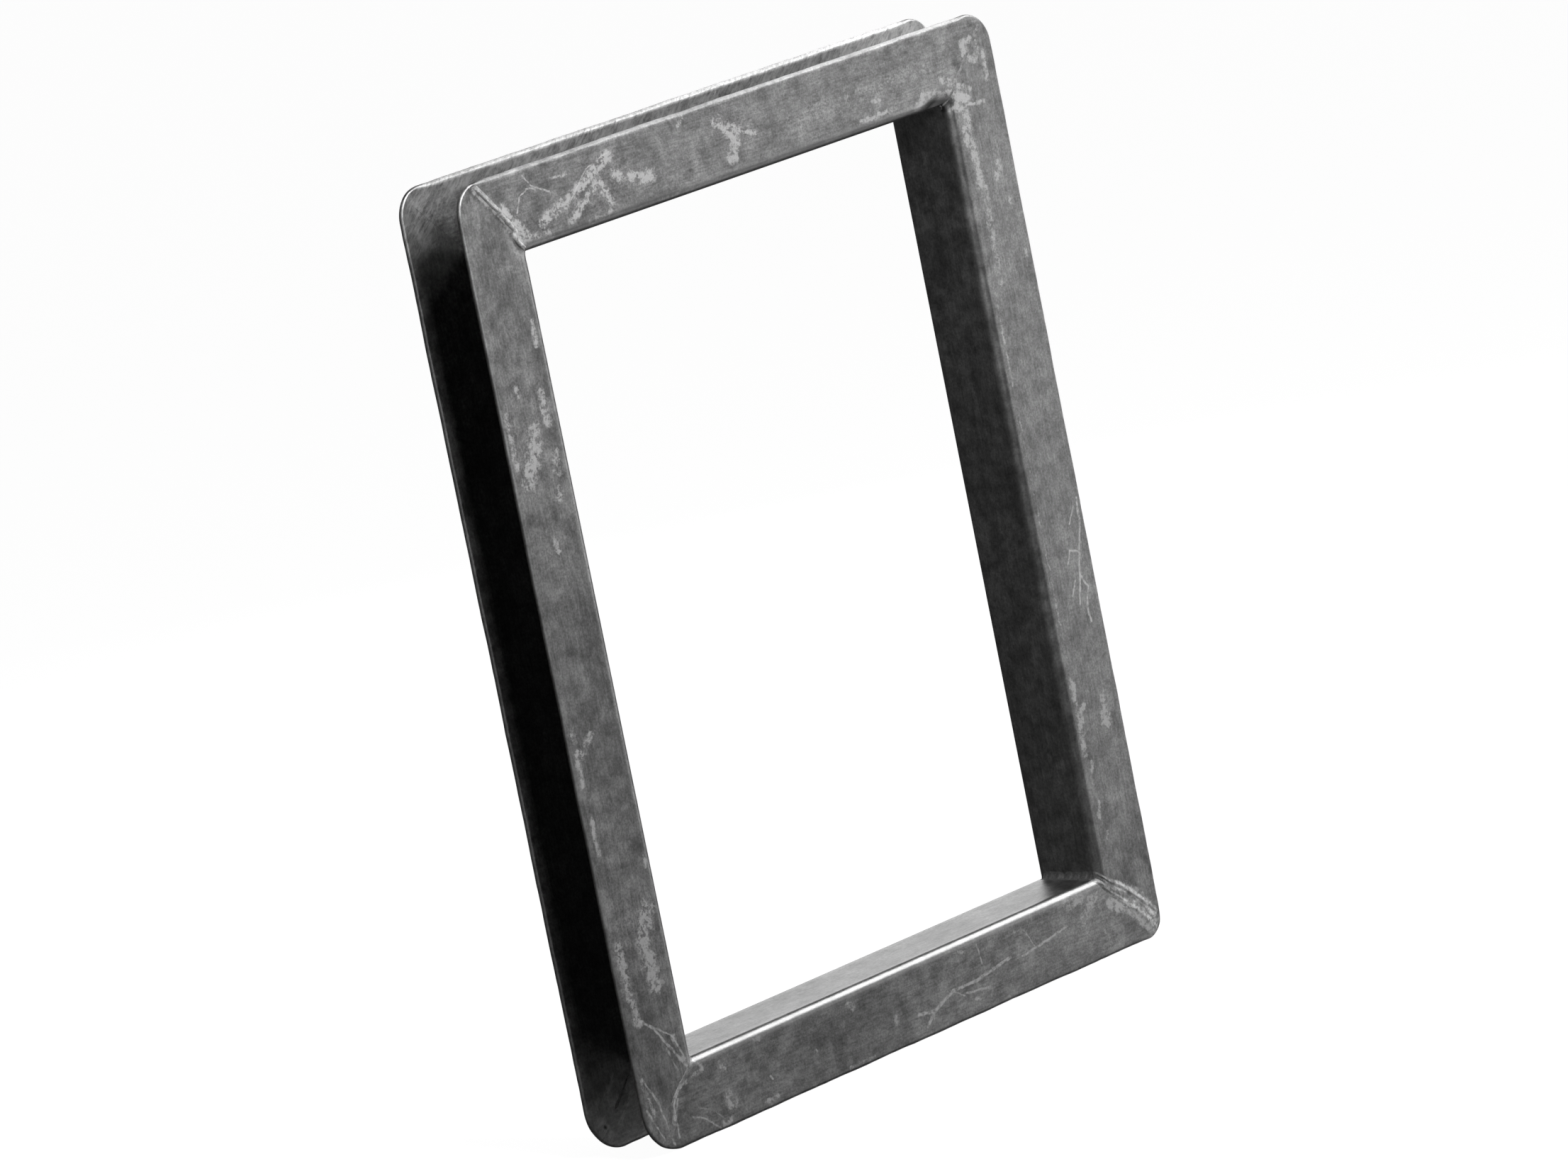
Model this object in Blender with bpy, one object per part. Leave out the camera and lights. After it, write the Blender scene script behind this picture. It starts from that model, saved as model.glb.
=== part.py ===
"""Screen printing frame: four folded channel rails, mitred and welded into a rectangle.

The web of every channel lines the opening and its two flanges point outward, so a
groove open to the outside runs round the whole frame. The frame stands on its lower
rail: X is the width, -Y the front face, Z the height, origin at the bottom centre.
"""

import math

import bmesh
import bpy
from mathutils import Matrix

# Driving dimensions, in metres.
FRAME_WIDTH = 0.400
FRAME_HEIGHT = 0.500
FRAME_DEPTH = 0.044
FLANGE_WIDTH = 0.042
SHEET = 0.0025
BEND_RADIUS = 0.0045
ROOT_GAP = 0.0016
CLEARANCE = 0.0003
FILLET_LEG = 0.003
CUTTER_MARGIN = 0.005
ARC_STEPS = 8

# Hand-ground radius of each outer corner, clockwise as seen from the front.
CORNER_RADII = {
    "top_left": 0.016,
    "top_right": 0.017,
    "bottom_right": 0.012,
    "bottom_left": 0.024,
}

# The lower left back mitre is welded only at its two ends: the slit between them
# runs from OPEN_SLIT_START to OPEN_SLIT_END, measured outward from the web.
OPEN_SLIT_START = 0.0085
OPEN_SLIT_END = 0.024

RAIL_COLOUR = (0.235, 0.235, 0.232)
WELD_COLOUR = (0.330, 0.330, 0.325)
RAIL_ROUGHNESS = 0.42
WELD_ROUGHNESS = 0.55

OPENING_WIDTH = FRAME_WIDTH - 2 * FLANGE_WIDTH
OPENING_HEIGHT = FRAME_HEIGHT - 2 * FLANGE_WIDTH
BEAD_HALF_WIDTH = ROOT_GAP / 2 - CLEARANCE
ROOT_2 = math.sqrt(2)

# Rail name, length of its inside edge, turn about Y from the top rail, and the
# corners at the ends of its own -X and +X.
RAILS = (
    ("top_rail", OPENING_WIDTH, 0, "top_left", "top_right"),
    ("right_rail", OPENING_HEIGHT, 90, "top_right", "bottom_right"),
    ("bottom_rail", OPENING_WIDTH, 180, "bottom_right", "bottom_left"),
    ("left_rail", OPENING_HEIGHT, 270, "bottom_left", "top_left"),
)

# Corner name, and its signs in X and Z.
CORNERS = (
    ("top_left", -1, 1),
    ("top_right", 1, 1),
    ("bottom_right", 1, -1),
    ("bottom_left", -1, -1),
)


def clear_scene():
    for item in list(bpy.data.objects):
        bpy.data.objects.remove(item, do_unlink=True)


def metal(name, colour, roughness):
    """A bare metal material with one colour and one roughness."""
    material = bpy.data.materials.new(name)
    material.use_nodes = True
    shader = material.node_tree.nodes["Principled BSDF"]
    shader.inputs["Base Color"].default_value = (*colour, 1.0)
    shader.inputs["Roughness"].default_value = roughness
    shader.inputs["Metallic"].default_value = 1.0
    return material


def arc(centre, radius, start, end, steps=ARC_STEPS):
    """Points on a circle from the angle start to the angle end, in degrees."""
    points = []
    for step in range(steps + 1):
        angle = math.radians(start + (end - start) * step / steps)
        points.append(
            (centre[0] + radius * math.cos(angle), centre[1] + radius * math.sin(angle))
        )
    return points


def prism(name, outline, half_length, place, matrix=None):
    """A closed prism of a 2D outline, extruded both ways along the third axis.

    place turns an outline point and an offset along the prism into a 3D point.
    """
    mesh = bpy.data.meshes.new(name)
    shape = bmesh.new()
    corners = [shape.verts.new(place(point, -half_length)) for point in outline]
    base = shape.faces.new(corners)
    swept = bmesh.ops.extrude_face_region(shape, geom=[base])
    moved = [item for item in swept["geom"] if isinstance(item, bmesh.types.BMVert)]
    start = place(outline[0], -half_length)
    end = place(outline[0], half_length)
    travel = [end[axis] - start[axis] for axis in range(3)]
    bmesh.ops.translate(shape, verts=moved, vec=travel)
    bmesh.ops.recalc_face_normals(shape, faces=shape.faces)
    shape.to_mesh(mesh)
    shape.free()
    thing = bpy.data.objects.new(name, mesh)
    bpy.context.scene.collection.objects.link(thing)
    if matrix is not None:
        thing.matrix_world = matrix
    return thing


def smooth(thing, sharp_degrees=30):
    """Round bends are shaded smooth, with every real edge kept sharp."""
    thing.data.shade_smooth()
    thing.data.set_sharp_from_angle(angle=math.radians(sharp_degrees))


def channel_outline():
    """The channel's section in (depth, outward), with its flanges left long."""
    half = FRAME_DEPTH / 2
    tip = FLANGE_WIDTH + CUTTER_MARGIN
    inner_radius = BEND_RADIUS - SHEET
    front_centre = (-half + BEND_RADIUS, BEND_RADIUS)
    back_centre = (half - BEND_RADIUS, BEND_RADIUS)
    outline = [(-half, tip)]
    outline += arc(front_centre, BEND_RADIUS, 180, 270)
    outline += arc(back_centre, BEND_RADIUS, 270, 360)
    outline += [(half, tip), (half - SHEET, tip)]
    outline += arc(back_centre, inner_radius, 360, 270)
    outline += arc(front_centre, inner_radius, 270, 180)
    outline += [(-half + SHEET, tip)]
    return outline


def mitre_outline(inside_length, start_radius, end_radius):
    """A rail seen from the front, in (along, outward): mitred, with ground corners."""
    half_inside = inside_length / 2
    gap_shift = ROOT_GAP / 2 * ROOT_2

    def end_points(radius):
        """One end, from the inside edge to the outer edge, along a positive axis."""
        centre_along = half_inside + FLANGE_WIDTH - radius
        centre_outward = FLANGE_WIDTH - radius
        reach = math.asin((ROOT_GAP / 2) / radius)
        first_angle = 45 + math.degrees(reach)
        points = [(half_inside - CUTTER_MARGIN - gap_shift, -CUTTER_MARGIN)]
        points += arc((centre_along, centre_outward), radius, first_angle, 90)
        return points

    start = [(-along, outward) for along, outward in end_points(start_radius)]
    return start + list(reversed(end_points(end_radius)))


def rail(name, inside_length, turn, start_corner, end_corner):
    """One folded channel, cut to its mitres and ground corners."""
    reach = OPENING_WIDTH / 2 if turn in (90, 270) else OPENING_HEIGHT / 2
    centre_height = Matrix.Translation((0, 0, FRAME_HEIGHT / 2))
    spin = Matrix.Rotation(math.radians(turn), 4, "Y")
    matrix = centre_height @ spin @ Matrix.Translation((0, 0, reach))
    half_length = inside_length / 2 + FLANGE_WIDTH + CUTTER_MARGIN
    body = prism(
        name,
        channel_outline(),
        half_length,
        lambda point, offset: (offset, point[0], point[1]),
        matrix,
    )
    cutter = prism(
        name + "_mitre_cutter",
        mitre_outline(inside_length, CORNER_RADII[start_corner], CORNER_RADII[end_corner]),
        FRAME_DEPTH / 2 + CUTTER_MARGIN,
        lambda point, offset: (point[0], offset, point[1]),
        matrix,
    )
    cutter.hide_render = True
    cutter.display_type = "WIRE"
    cut = body.modifiers.new("mitres", "BOOLEAN")
    cut.operation = "INTERSECT"
    cut.solver = "EXACT"
    cut.object = cutter
    smooth(body)
    body.data.materials.append(metal(name + "_sheet", RAIL_COLOUR, RAIL_ROUGHNESS))


def outward_limit(corner):
    """How far out a bead may run on the mitre before it meets the ground corner."""
    radius = CORNER_RADII[corner]
    return FLANGE_WIDTH - radius * (1 - 1 / ROOT_2) - CLEARANCE


def seam_outline(first, last, with_bend):
    """A flange bead's side view in (outward, depth from the face), filling the sheet."""
    if not with_bend:
        return [(first, 0), (last, 0), (last, SHEET), (first, SHEET)]
    centre = (BEND_RADIUS, BEND_RADIUS)
    outline = [(last, SHEET), (last, 0)]
    outline += arc(centre, BEND_RADIUS, 270, 180)
    outline += arc(centre, BEND_RADIUS - SHEET, 180, 270)
    return outline


def seam_weld(name, sign_x, sign_z, side, first, last, with_bend):
    """A ground butt weld in one mitre of the front (-1) or the back (+1) flange."""

    def place(point, offset):
        outward, depth = point
        across = offset / ROOT_2
        along_x = OPENING_WIDTH / 2 + outward + across
        along_z = OPENING_HEIGHT / 2 + outward - across
        return (
            sign_x * along_x,
            side * (FRAME_DEPTH / 2 - depth),
            FRAME_HEIGHT / 2 + sign_z * along_z,
        )

    bead = prism(name, seam_outline(first, last, with_bend), BEAD_HALF_WIDTH, place)
    smooth(bead)
    bead.data.materials.append(metal(name + "_metal", WELD_COLOUR, WELD_ROUGHNESS))


def fillet_outline():
    """The inside corner bead in (into the opening from one web, and from the other)."""
    stem = BEAD_HALF_WIDTH * ROOT_2
    toe = CLEARANCE + FILLET_LEG
    bulge = CLEARANCE + FILLET_LEG * 0.4
    return [
        (CLEARANCE, CLEARANCE + stem),
        (CLEARANCE, toe),
        (bulge, toe - FILLET_LEG * 0.35),
        (toe - FILLET_LEG * 0.35, bulge),
        (toe, CLEARANCE),
        (CLEARANCE + stem, CLEARANCE),
        (stem - SHEET, -SHEET),
        (-SHEET, stem - SHEET),
    ]


def inside_corner_weld(name, sign_x, sign_z):
    """The fillet weld where two webs meet in a corner of the opening."""
    half_length = FRAME_DEPTH / 2 - BEND_RADIUS - CLEARANCE

    def place(point, offset):
        return (
            sign_x * (OPENING_WIDTH / 2 - point[0]),
            offset,
            FRAME_HEIGHT / 2 + sign_z * (OPENING_HEIGHT / 2 - point[1]),
        )

    bead = prism(name, fillet_outline(), half_length, place)
    smooth(bead)
    bead.data.materials.append(metal(name + "_metal", WELD_COLOUR, WELD_ROUGHNESS))


def corner_welds(corner, sign_x, sign_z):
    """All the beads that join two rails at one corner."""
    limit = outward_limit(corner)
    seam_weld(corner + "_front_weld", sign_x, sign_z, -1, 0, limit, True)
    inside_corner_weld(corner + "_inside_weld", sign_x, sign_z)
    back_name = corner + "_back_weld"
    if corner == "bottom_left":
        seam_weld(back_name, sign_x, sign_z, 1, OPEN_SLIT_END, limit, False)
        seam_weld(corner + "_back_tack_weld", sign_x, sign_z, 1, 0, OPEN_SLIT_START, True)
    else:
        seam_weld(back_name, sign_x, sign_z, 1, 0, limit, True)


def main():
    clear_scene()
    for spec in RAILS:
        rail(*spec)
    for spec in CORNERS:
        corner_welds(*spec)


main()
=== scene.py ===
"""Looks of the welded steel screen printing frame: worn folded rails, ground corner welds.

Everything is built in metres in the frame's own coordinates: X is the width, -Y the
front face and Z the height. Places on a face are given in millimetres, either as
(from the left edge, from the top edge), or near a corner as (from the side edge, from
the top or bottom edge).
"""

import math

import bmesh
import bpy
import numpy as np
from mathutils import Matrix, Quaternion, Vector, noise


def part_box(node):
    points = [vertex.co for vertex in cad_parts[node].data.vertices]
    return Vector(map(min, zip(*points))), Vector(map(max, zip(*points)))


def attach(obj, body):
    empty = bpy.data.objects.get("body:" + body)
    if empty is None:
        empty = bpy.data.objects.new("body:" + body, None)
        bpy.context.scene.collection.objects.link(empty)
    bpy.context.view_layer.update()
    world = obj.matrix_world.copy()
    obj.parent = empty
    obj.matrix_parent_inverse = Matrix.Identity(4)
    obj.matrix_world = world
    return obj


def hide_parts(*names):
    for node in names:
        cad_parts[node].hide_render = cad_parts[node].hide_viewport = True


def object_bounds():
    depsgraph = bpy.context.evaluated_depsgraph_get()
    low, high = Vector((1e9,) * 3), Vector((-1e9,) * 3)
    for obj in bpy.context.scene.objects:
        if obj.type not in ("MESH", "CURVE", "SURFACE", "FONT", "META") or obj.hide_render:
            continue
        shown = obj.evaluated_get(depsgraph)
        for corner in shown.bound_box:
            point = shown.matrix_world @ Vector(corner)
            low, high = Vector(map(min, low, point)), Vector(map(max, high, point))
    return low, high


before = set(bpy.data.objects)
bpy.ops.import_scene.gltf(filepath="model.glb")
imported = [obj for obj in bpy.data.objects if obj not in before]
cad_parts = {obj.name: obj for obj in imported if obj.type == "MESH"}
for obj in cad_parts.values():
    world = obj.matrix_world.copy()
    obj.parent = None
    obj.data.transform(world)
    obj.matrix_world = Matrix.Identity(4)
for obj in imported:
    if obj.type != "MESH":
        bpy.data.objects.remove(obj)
CAD_LOW, CAD_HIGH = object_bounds()

MM = 0.001

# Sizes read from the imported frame.
WIDTH = CAD_HIGH.x - CAD_LOW.x
DEPTH = CAD_HIGH.y - CAD_LOW.y
HEIGHT = CAD_HIGH.z - CAD_LOW.z
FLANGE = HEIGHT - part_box("top_rail")[0].z
BACK_WELD_LOW, BACK_WELD_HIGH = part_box("bottom_left_back_weld")
TACK_WELD_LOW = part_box("bottom_left_back_tack_weld")[0]
SHEET = BACK_WELD_HIGH.y - BACK_WELD_LOW.y
INSIDE_WELD_LOW, INSIDE_WELD_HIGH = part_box("top_left_inside_weld")
BEND = (DEPTH - (INSIDE_WELD_HIGH.y - INSIDE_WELD_LOW.y)) / 2

# The sheet along one side of the channel, from the front tip: flange, bend, web.
FLAT = FLANGE - BEND
BEND_LENGTH = BEND * math.pi / 2
WEB = DEPTH - 2 * BEND
HALF_SECTION = FLAT + BEND_LENGTH + WEB / 2

# The front face lies this far inside the CAD box, so that welds can stand proud of it.
FACE_INSET = 0.45 * MM

# How far the sheet's tip edge is worn back, and over what length.
EDGE_ROUND = 0.46 * SHEET
TIP_LENGTH = 1.8 * MM

# Columns of a rail's grid: fine ones up to CORNER_ZONE from its ends, wide ones between.
CORNER_ZONE = 58 * MM
CORNER_COLUMNS = 42
COLUMN_STEP = 4.5 * MM

# How far a bead's edges are sunk into the sheet, and how thick the bead is below it.
BEAD_SINK = 0.03 * MM
BEAD_ROOT = 0.35 * MM

# Ground radius of each outer corner, and its signs in X and Z.
CORNERS = {
    "top_left": (16 * MM, -1, 1),
    "top_right": (17 * MM, 1, 1),
    "bottom_right": (12 * MM, 1, -1),
    "bottom_left": (24 * MM, -1, -1),
}

# Rail name, its two corners, and whether it lies across (1) or stands upright (-1).
RAILS = (
    ("top_rail", "top_left", "top_right", 1),
    ("right_rail", "bottom_right", "top_right", -1),
    ("bottom_rail", "bottom_left", "bottom_right", 1),
    ("left_rail", "bottom_left", "top_left", -1),
)

# How far each front seam strays from the true mitre, in mm, against the distance in
# from the outline. A positive stray leaves the corner's tip on the upright rail.
SEAM_STRAY = {
    "top_left": ((0, 9.0), (17, 9.5), (30, 6.0), (35.5, 0.0)),
    "top_right": ((0, 0.0), (35.5, 0.0)),
    "bottom_right": ((0, -3.0), (17, -4.0), (29, -1.5), (35.5, 0.0)),
    "bottom_left": ((0, 6.0), (14, 4.5), (23, -2.0), (29, -1.5), (35.5, 0.0)),
}


# ---------------------------------------------------------------- folded sheet


def section(distance):
    """The outer side of the channel at a distance along it from the front tip.

    Returns depth, outward distance from the web, and the outward-facing normal in
    the same two directions.
    """
    mirrored = distance > HALF_SECTION
    along = 2 * HALF_SECTION - distance if mirrored else distance
    if along <= FLAT:
        depth, outward, normal = -DEPTH / 2, FLANGE - along, (-1.0, 0.0)
    elif along <= FLAT + BEND_LENGTH:
        angle = (along - FLAT) / BEND
        depth = -DEPTH / 2 + BEND * (1 - math.cos(angle))
        outward = BEND * (1 - math.sin(angle))
        normal = (-math.cos(angle), -math.sin(angle))
    else:
        depth = -DEPTH / 2 + BEND + along - FLAT - BEND_LENGTH
        outward, normal = 0.0, (0.0, -1.0)
    if mirrored:
        return -depth, outward, (-normal[0], normal[1])
    return depth, outward, normal


def smooth_step(value, low, high):
    share = min(max((value - low) / (high - low), 0.0), 1.0)
    return share * share * (3 - 2 * share)


def tip_round(distance, along):
    """How far the sheet's face draws in where its tip edge is worn.

    The tips of the rails that lie across are ground to a blunt wedge; the tips of the
    upright rails are only worn round.
    """
    from_tip = min(distance, 2 * HALF_SECTION - distance)
    wedge = EDGE_ROUND * max(1 - from_tip / TIP_LENGTH, 0.0) ** 1.3
    left = max(EDGE_ROUND - from_tip, 0.0)
    rounded = EDGE_ROUND - math.sqrt(EDGE_ROUND**2 - left * left)
    share = smooth_step(along / MM, 8.0, 20.0)
    return rounded + (wedge - rounded) * share


def outline_point(corner, inset, along):
    """A point on the frame's outline, drawn in by inset, as (from side, from end).

    along is the distance from the corner's diagonal, positive on the rail that lies
    across and negative on the upright one.
    """
    radius = CORNERS[corner][0]
    arc_radius = max(radius - inset, 0.0)
    centre = max(radius, inset)
    half_arc = arc_radius * math.pi / 4
    if abs(along) >= half_arc:
        beyond = centre + abs(along) - half_arc
        return (beyond, inset) if along > 0 else (inset, beyond)
    angle = math.pi / 4 - along / arc_radius
    return centre - arc_radius * math.sin(angle), centre - arc_radius * math.cos(angle)


def reach(corner, inset, from_edge):
    """The distance along a row at which it is from_edge away from the far outline."""
    radius = CORNERS[corner][0]
    half_arc = max(radius - inset, 0.0) * math.pi / 4
    return from_edge - max(radius, inset) + half_arc


def seam_stray(corner, depth, inset):
    """Where the seam crosses a row of the sheet, as a distance from the diagonal."""
    if depth > 0:
        return 0.0
    insets, strays = zip(*SEAM_STRAY[corner])
    return float(np.interp(inset / MM, insets, strays)) * MM


# How the front sheets meet at each corner's seam, in mm: how far the edge of the rail
# that lies across stands up and over what length, how far the upright's dips and over
# what length, and how wide the slope between them is.
SEAM_STEP = {
    "top_left": (0.22, 3.0, 0.50, 9.0, 5.5),
    "top_right": (0.0, 3.0, 0.0, 3.0, 1.0),
    "bottom_right": (0.0, 3.0, 0.25, 8.0, 4.0),
    "bottom_left": (0.04, 3.0, 0.12, 6.0, 4.0),
}


def seam_rise(corner, depth, inset, along):
    """How far the front face stands up (or dips, below 0) near a corner's seam."""
    if depth > 0:
        return 0.0
    rise, rise_length, dip, dip_length, slope = SEAM_STEP[corner]
    beside = (along - seam_stray(corner, depth, inset)) / MM
    share = smooth_step(beside, -slope, 0.8)
    up = rise * math.exp(-((beside / rise_length) ** 2))
    down = dip * math.exp(-((beside / dip_length) ** 2))
    return (up * share - down * (1 - share)) * MM


# The slit left in the lower left back mitre between its two welds: where it starts and
# ends, measured out from the web, and its half width.
SLIT_START = FLANGE - WIDTH / 2 - TACK_WELD_LOW.x
SLIT_END = FLANGE - WIDTH / 2 - BACK_WELD_HIGH.x
SLIT_HALF_WIDTH = 1.35 * MM


def slit_half_width(corner, depth, outward):
    """How far each sheet is cut back from the back seam, to leave the open slit."""
    if corner != "bottom_left" or depth < 0:
        return 0.0
    middle = (SLIT_START + SLIT_END) / 2
    share = (outward - middle) / (SLIT_END - middle)
    return SLIT_HALF_WIDTH * math.sqrt(max(1 - share * share, 0.0))


def ripple(x, y, z, size, seed):
    """Smooth noise from -1 to 1 with features of about the given size."""
    return noise.noise(Vector((x / size + seed, y / size, z / size - seed)))


# Hollows beaten or ground into the front: corner, centre from the side and from the
# end, half sizes, and depth, all in mm.
HOLLOWS = (
    ("top_right", 49, 41.5, 8, 4.2, 3.6),
    ("top_right", 24, 26, 14, 12, 0.45),
    ("top_left", 33, 36, 8, 8, 0.35),
    ("bottom_right", 24, 28, 14, 7, 0.40),
    ("bottom_left", 18, 20, 15, 15, 0.35),
    ("bottom_left", 30, 44, 9, 7, 0.30),
)


def hollow_depth(x, z):
    """How far the front is pushed back by the hollows at a point."""
    total = 0.0
    for corner, from_side, from_end, half_side, half_end, depth in HOLLOWS:
        _, sign_x, sign_z = CORNERS[corner]
        side = (WIDTH / 2 - sign_x * x) / MM - from_side
        end = (HEIGHT / 2 - sign_z * (z - HEIGHT / 2)) / MM - from_end
        total += depth * math.exp(-((side / half_side) ** 2) - (end / half_end) ** 2)
    return total * MM


def sheet_point(corner, distance, along, layer=0, lift=0.0):
    """A point of the bent sheet near a corner: layer 0 is its outer face, 1 its inner.

    lift raises the point off the outer face, for weld metal.
    """
    _, sign_x, sign_z = CORNERS[corner]
    depth, outward, normal = section(distance)
    sink = layer * SHEET - lift
    rounding = tip_round(distance, along) * (1 - 2 * layer)
    flat_depth = depth
    depth -= normal[0] * (sink + rounding)
    outward -= normal[1] * sink
    inset = FLANGE - outward
    from_side, from_end = outline_point(corner, inset, along)
    x = sign_x * (WIDTH / 2 - from_side)
    z = HEIGHT / 2 + sign_z * (HEIGHT / 2 - from_end)
    side = math.copysign(1.0, flat_depth)
    free = min(max(outward / FLANGE, 0.0), 1.0)
    draw_in = FACE_INSET * abs(normal[0])
    wave = 0.22 * MM * ripple(x, side, z, 75 * MM, 3.0) * free
    wave += 0.05 * MM * ripple(x, side, z, 16 * MM, 9.0)
    y = depth - side * (draw_in + wave * abs(normal[0]))
    y -= seam_rise(corner, flat_depth, inset, along) * abs(normal[0])
    if side < 0:
        y += hollow_depth(x, z) * max(-normal[0], 0.35)
    y = min(max(y, -DEPTH / 2), DEPTH / 2)
    ragged = 0.30 * MM * ripple(x, side, z, 22 * MM, 5.0) - 0.30 * MM
    ragged += 0.16 * MM * ripple(x, side, z, 6 * MM, 7.0)
    shrink = ragged * free**6
    x += sign_x * shrink * min(abs(x) / (WIDTH / 2), 1.0) ** 8
    z += sign_z * shrink * min(abs(z - HEIGHT / 2) / (HEIGHT / 2), 1.0) ** 8
    x = min(max(x, -WIDTH / 2), WIDTH / 2)
    return Vector((x, y, min(max(z, 0.0), HEIGHT)))


def row_distances():
    """Distances along the section for the rows of a rail's grid, front tip to back."""
    tip = [TIP_LENGTH * (1 - math.cos(angle)) for angle in np.linspace(0, math.pi / 2, 9)]
    flat = list(np.linspace(TIP_LENGTH, FLAT, 25)[1:])
    bend = list(np.linspace(FLAT, FLAT + BEND_LENGTH, 11)[1:])
    web = list(np.linspace(FLAT + BEND_LENGTH, HALF_SECTION, 6)[1:])
    front = tip + flat + bend + web
    return front + [2 * HALF_SECTION - distance for distance in reversed(front[:-1])]


def half_row(corner, distance, across, half_side, layer):
    """Points of one row from the seam at a corner to the middle of the rail."""
    depth, outward, normal = section(distance)
    inset = FLANGE - outward + normal[1] * layer * SHEET
    start = across * seam_stray(corner, depth, inset) + 0.03 * MM
    start += slit_half_width(corner, depth, outward)
    zone_end = reach(corner, inset, CORNER_ZONE)
    steps = list(np.linspace(start, zone_end, CORNER_COLUMNS + 1))
    count = int((half_side - CORNER_ZONE) / COLUMN_STEP)
    middle = np.linspace(CORNER_ZONE, half_side, count + 1)[1:]
    steps += [reach(corner, inset, from_edge) for from_edge in middle]
    return [sheet_point(corner, distance, across * step, layer) for step in steps]


def add_object(name, mesh):
    thing = bpy.data.objects.new(name, mesh)
    bpy.context.scene.collection.objects.link(thing)
    return thing


def shell_mesh(name, rings, marks=None):
    """A closed mesh from rings of points, each ring joined to the next, ends capped.

    Every ring lists its outer points and then its inner points in reverse, so that an
    end cap is a strip of four-sided faces. marks gives, for each named attribute, its
    value at each point of a ring.
    """
    shape = bmesh.new()
    marks = marks or {}
    layers = {key: shape.verts.layers.float.new(key) for key in marks}
    rows = []
    for ring in rings:
        verts = [shape.verts.new(point) for point in ring]
        for key, layer in layers.items():
            for vert, value in zip(verts, marks[key]):
                vert[layer] = value
        rows.append(verts)
    count = len(rings[0])
    for near, far in zip(rows, rows[1:]):
        for index in range(count):
            after = (index + 1) % count
            shape.faces.new((near[index], near[after], far[after], far[index]))
    for verts, flip in ((rows[0], False), (rows[-1], True)):
        for index in range(count // 2 - 1):
            across = count - 1 - index
            face = (verts[index], verts[across], verts[across - 1], verts[index + 1])
            shape.faces.new(tuple(reversed(face)) if flip else face)
    bmesh.ops.recalc_face_normals(shape, faces=shape.faces)
    mesh = bpy.data.meshes.new(name)
    shape.to_mesh(mesh)
    shape.free()
    mesh.shade_smooth()
    mesh.set_sharp_from_angle(angle=math.radians(40))
    return mesh


def tip_wear(distance):
    """How much a row is worn by handling: fully at the sheet's tip edge."""
    from_tip = min(distance, 2 * HALF_SECTION - distance)
    return 1 - smooth_step(from_tip / MM, 0.2, 1.5)


def bend_polish(distance):
    """How much a row was polished by the folding tool: fully round the bend."""
    from_tip = min(distance, 2 * HALF_SECTION - distance)
    inside = smooth_step(from_tip / MM, FLAT / MM - 1.0, FLAT / MM + 1.0)
    end = (FLAT + BEND_LENGTH) / MM
    return inside * (1 - smooth_step(from_tip / MM, end - 0.6, end + 0.6))


def build_rail(name, start_corner, end_corner, across, material):
    """A folded channel rail, from seam to seam, standing for its CAD node."""
    half_side = WIDTH / 2 if across > 0 else HEIGHT / 2
    distances = row_distances()
    lines = []
    marks = {"tip_wear": [], "bend_polish": []}
    for layer in (0, 1):
        ordered = distances if layer == 0 else list(reversed(distances))
        for distance in ordered:
            start = half_row(start_corner, distance, across, half_side, layer)
            end = half_row(end_corner, distance, across, half_side, layer)
            lines.append(start + list(reversed(end[:-1])))
            marks["tip_wear"].append(tip_wear(distance))
            marks["bend_polish"].append(bend_polish(distance))
    rings = list(zip(*lines))
    rail = add_object(name.replace("_rail", "_folded_rail"), shell_mesh(name, rings, marks))
    rail.data.materials.append(material)
    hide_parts(name)
    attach(rail, "root")


# ---------------------------------------------------------------- weld metal


def one_ridge(step):
    """Share of a bead's height across its width, from -1 to 1: one round ridge."""
    return 1 - step * step


def two_ridges(step):
    """The same, for a wide weld laid as two runs with a trough between them."""
    upper = math.exp(-(((step + 0.62) / 0.20) ** 2))
    lower = 0.8 * math.exp(-(((step - 0.52) / 0.30) ** 2))
    return max(upper, lower, 0.30 * (1 - step * step)) * min(1.0, 2.2 * (1 - abs(step)))


def bead_rings(corner, first, last, half_width, height, lumps, seed, ridge=one_ridge):
    """Rings of a low bead laid along a corner's seam, between two section distances."""
    count = max(4, int((last - first) / (0.7 * MM)))
    columns = 11 if ridge is one_ridge else 31
    rings = []
    for distance in np.linspace(first, last, count + 1):
        depth, outward, _ = section(distance)
        centre = seam_stray(corner, depth, FLANGE - outward)
        share = (distance - first) / (last - first)
        fade = min(1.0, 6 * share + 0.25, 6 * (1 - share) + 0.25)
        spread = 0.8 + 0.2 * fade
        if ridge is two_ridges:
            spread = 1 - 0.45 * smooth_step(share, 0.45, 1.0)
        top = []
        bottom = []
        for step in np.linspace(-1, 1, columns):
            spot = centre + step * half_width * spread
            bump = ripple(distance, step * half_width, 0, 2.6 * MM, seed)
            lift = fade * height * ridge(step) * (1 + lumps * bump) - BEAD_SINK * step**6
            top.append(sheet_point(corner, distance, spot, 0, min(lift, FACE_INSET * 0.9)))
            bottom.append(sheet_point(corner, distance, spot, 0, -BEAD_ROOT))
        rings.append(top + list(reversed(bottom)))
    return rings


def build_bead(name, node_names, rings, material):
    bead = add_object(name, shell_mesh(name, rings))
    bead.data.materials.append(material)
    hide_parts(*node_names)
    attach(bead, "root")


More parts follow.
